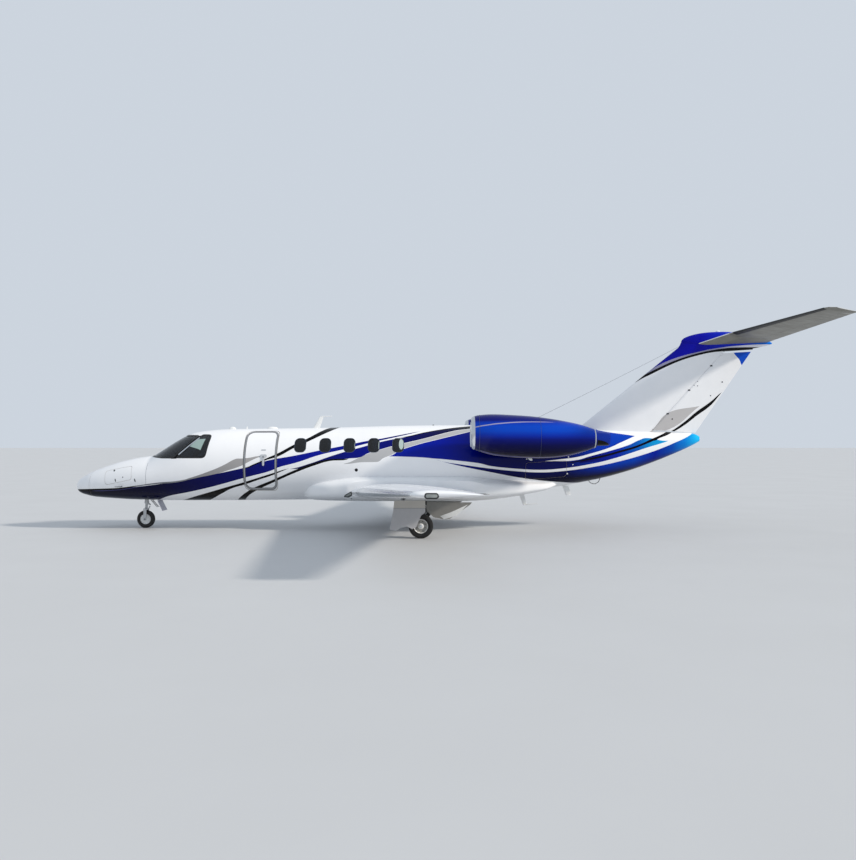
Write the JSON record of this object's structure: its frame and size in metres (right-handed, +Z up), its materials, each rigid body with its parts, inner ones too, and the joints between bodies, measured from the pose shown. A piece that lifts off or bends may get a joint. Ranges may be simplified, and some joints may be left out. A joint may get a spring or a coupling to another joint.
{
  "type": "business jet",
  "caption": "Twin-engine business jet on its gear, with low wings, rear-mounted engines, a T-tail, a front cabin door and baggage doors",
  "frame": {"origin": "on the ground under the middle of the bounding box", "axes": "+X aft, +Y to starboard, +Z up"},
  "size_m": [16.26, 15.49, 4.5552],
  "materials": {
    "skin": "gloss",
    "composite": "gloss",
    "glazing": "gloss",
    "floor": "matte",
    "seat": "satin",
    "panel": "matte",
    "fan": "satin",
    "engine": "satin",
    "rim": "satin",
    "tyre": "matte",
    "gear": "satin",
    "gear_door": "satin"
  },
  "bodies": {
    "airframe": {"radome": "composite", "nose_section": "skin", "cockpit_section": "skin", "windshield_left": "glazing", "windshield_right": "glazing", "side_window_left": "glazing", "side_window_right": "glazing", "cabin_section": "skin", "cabin_windows_left": "glazing", "cabin_windows_right": "glazing", "aft_fuselage": "skin", "cabin_floor": "floor", "cabin_seats_left": "seat", "cabin_seats_right": "seat", "cockpit_seat_left": "seat", "cockpit_seat_right": "seat", "instrument_panel": "panel", "belly_fairing": "composite", "wing_left": "skin", "wing_right": "skin", "fin": "composite", "stabilizer": "composite", "nacelle_left": "composite", "nacelle_right": "composite", "pylon_left": "composite", "pylon_right": "composite", "engine_core_left": "engine", "engine_core_right": "engine", "main_gear_leg_left": "gear", "main_gear_leg_right": "gear", "main_gear_door_left": "gear_door", "main_gear_door_right": "gear_door", "main_gear_inboard_door_left": "gear_door", "main_gear_inboard_door_right": "gear_door", "nose_strut": "gear", "nose_gear_door": "gear_door"},
    "cabin_door": {"cabin_door": "skin"},
    "nose_baggage_door_left": {"nose_baggage_door_left": "skin"},
    "nose_baggage_door_right": {"nose_baggage_door_right": "skin"},
    "aft_baggage_door": {"aft_baggage_door": "skin"},
    "flap_left": {"flap_left": "skin"},
    "flap_right": {"flap_right": "skin"},
    "aileron_left": {"aileron_left": "skin"},
    "aileron_right": {"aileron_right": "skin"},
    "rudder": {"rudder": "composite"},
    "elevator_left": {"elevator_left": "composite"},
    "elevator_right": {"elevator_right": "composite"},
    "fan_left": {"fan_left": "fan"},
    "fan_right": {"fan_right": "fan"},
    "main_wheel_left": {"main_wheel_left": "rim", "main_tyre_left": "tyre"},
    "main_wheel_right": {"main_wheel_right": "rim", "main_tyre_right": "tyre"},
    "nose_fork": {"nose_fork": "gear"},
    "nose_wheel": {"nose_wheel": "rim", "nose_tyre": "tyre"}
  },
  "joints": [
    {"name": "cabin_door_hinge", "type": "hinge", "parent": "airframe", "child": "cabin_door", "pos_m": [-4.13, -0.824, 1.63], "axis": [0, -0.2019, -0.9794], "range_deg": [0, 105]},
    {"name": "nose_baggage_door_left_hinge", "type": "hinge", "parent": "airframe", "child": "nose_baggage_door_left", "pos_m": [-7.33, -0.376, 1.318], "axis": [-0.9655, 0.1871, -0.181], "range_deg": [0, 75]},
    {"name": "nose_baggage_door_right_hinge", "type": "hinge", "parent": "airframe", "child": "nose_baggage_door_right", "pos_m": [-7.33, 0.376, 1.318], "axis": [0.9655, 0.1871, 0.181], "range_deg": [0, 75]},
    {"name": "aft_baggage_door_hinge", "type": "hinge", "parent": "airframe", "child": "aft_baggage_door", "pos_m": [2.11, -0.585, 1.13], "axis": [0.9885, 0.1365, 0.0645], "range_deg": [0, 90]},
    {"name": "flap_left_hinge", "type": "hinge", "parent": "airframe", "child": "flap_left", "pos_m": [0.317, -4.7, 1.10007], "axis": [-0.0311, 0.9981, -0.0536], "range_deg": [0, 35]},
    {"name": "flap_right_hinge", "type": "hinge", "parent": "airframe", "child": "flap_right", "pos_m": [0.317, 4.7, 1.10007], "axis": [0.0311, 0.9981, 0.0536], "range_deg": [0, 35]},
    {"name": "aileron_left_hinge", "type": "hinge", "parent": "airframe", "child": "aileron_left", "pos_m": [0.45051, -7.25, 1.23743], "axis": [-0.0322, 0.998, -0.0542], "range_deg": [-20, 15]},
    {"name": "aileron_right_hinge", "type": "hinge", "parent": "airframe", "child": "aileron_right", "pos_m": [0.45051, 7.25, 1.23743], "axis": [0.0322, 0.998, 0.0542], "range_deg": [-15, 20]},
    {"name": "rudder_hinge", "type": "hinge", "parent": "airframe", "child": "rudder", "pos_m": [5.927, 0, 3.133], "axis": [0.6748, 0, 0.738], "range_deg": [-25, 25]},
    {"name": "elevator_left_hinge", "type": "hinge", "parent": "airframe", "child": "elevator_left", "pos_m": [7.91352, -3.02, 4.47063], "axis": [-0.1603, 0.9859, -0.0487], "range_deg": [-20, 15]},
    {"name": "elevator_right_hinge", "type": "hinge", "parent": "airframe", "child": "elevator_right", "pos_m": [7.91352, 3.02, 4.47063], "axis": [0.1603, 0.9859, 0.0487], "range_deg": [-20, 15]},
    {"name": "fan_left_spin", "type": "hinge", "parent": "airframe", "child": "fan_left", "pos_m": [1.26, -1.35, 2.13154], "axis": [1, 0, 0], "continuous": true},
    {"name": "fan_right_spin", "type": "hinge", "parent": "airframe", "child": "fan_right", "pos_m": [1.26, 1.35, 2.13154], "axis": [1, 0, 0], "continuous": true},
    {"name": "main_wheel_left_roll", "type": "hinge", "parent": "airframe", "child": "main_wheel_left", "pos_m": [-0.205, -2.05, 0.252], "axis": [0, 1, 0], "continuous": true},
    {"name": "main_wheel_right_roll", "type": "hinge", "parent": "airframe", "child": "main_wheel_right", "pos_m": [-0.205, 2.05, 0.252], "axis": [0, 1, 0], "continuous": true},
    {"name": "nose_steering", "type": "hinge", "parent": "airframe", "child": "nose_fork", "pos_m": [-6.5473, 0, 0.45], "axis": [0.0665, 0, 0.9978], "range_deg": [-60, 60]},
    {"name": "nose_wheel_roll", "type": "hinge", "parent": "nose_fork", "child": "nose_wheel", "pos_m": [-6.552, 0, 0.202], "axis": [0, 1, 0], "continuous": true}
  ],
  "couplings": [
    {"joint": "flap_right_hinge", "follows": "flap_left_hinge", "ratio": 1},
    {"joint": "aileron_right_hinge", "follows": "aileron_left_hinge", "ratio": -1},
    {"joint": "elevator_right_hinge", "follows": "elevator_left_hinge", "ratio": 1}
  ]
}
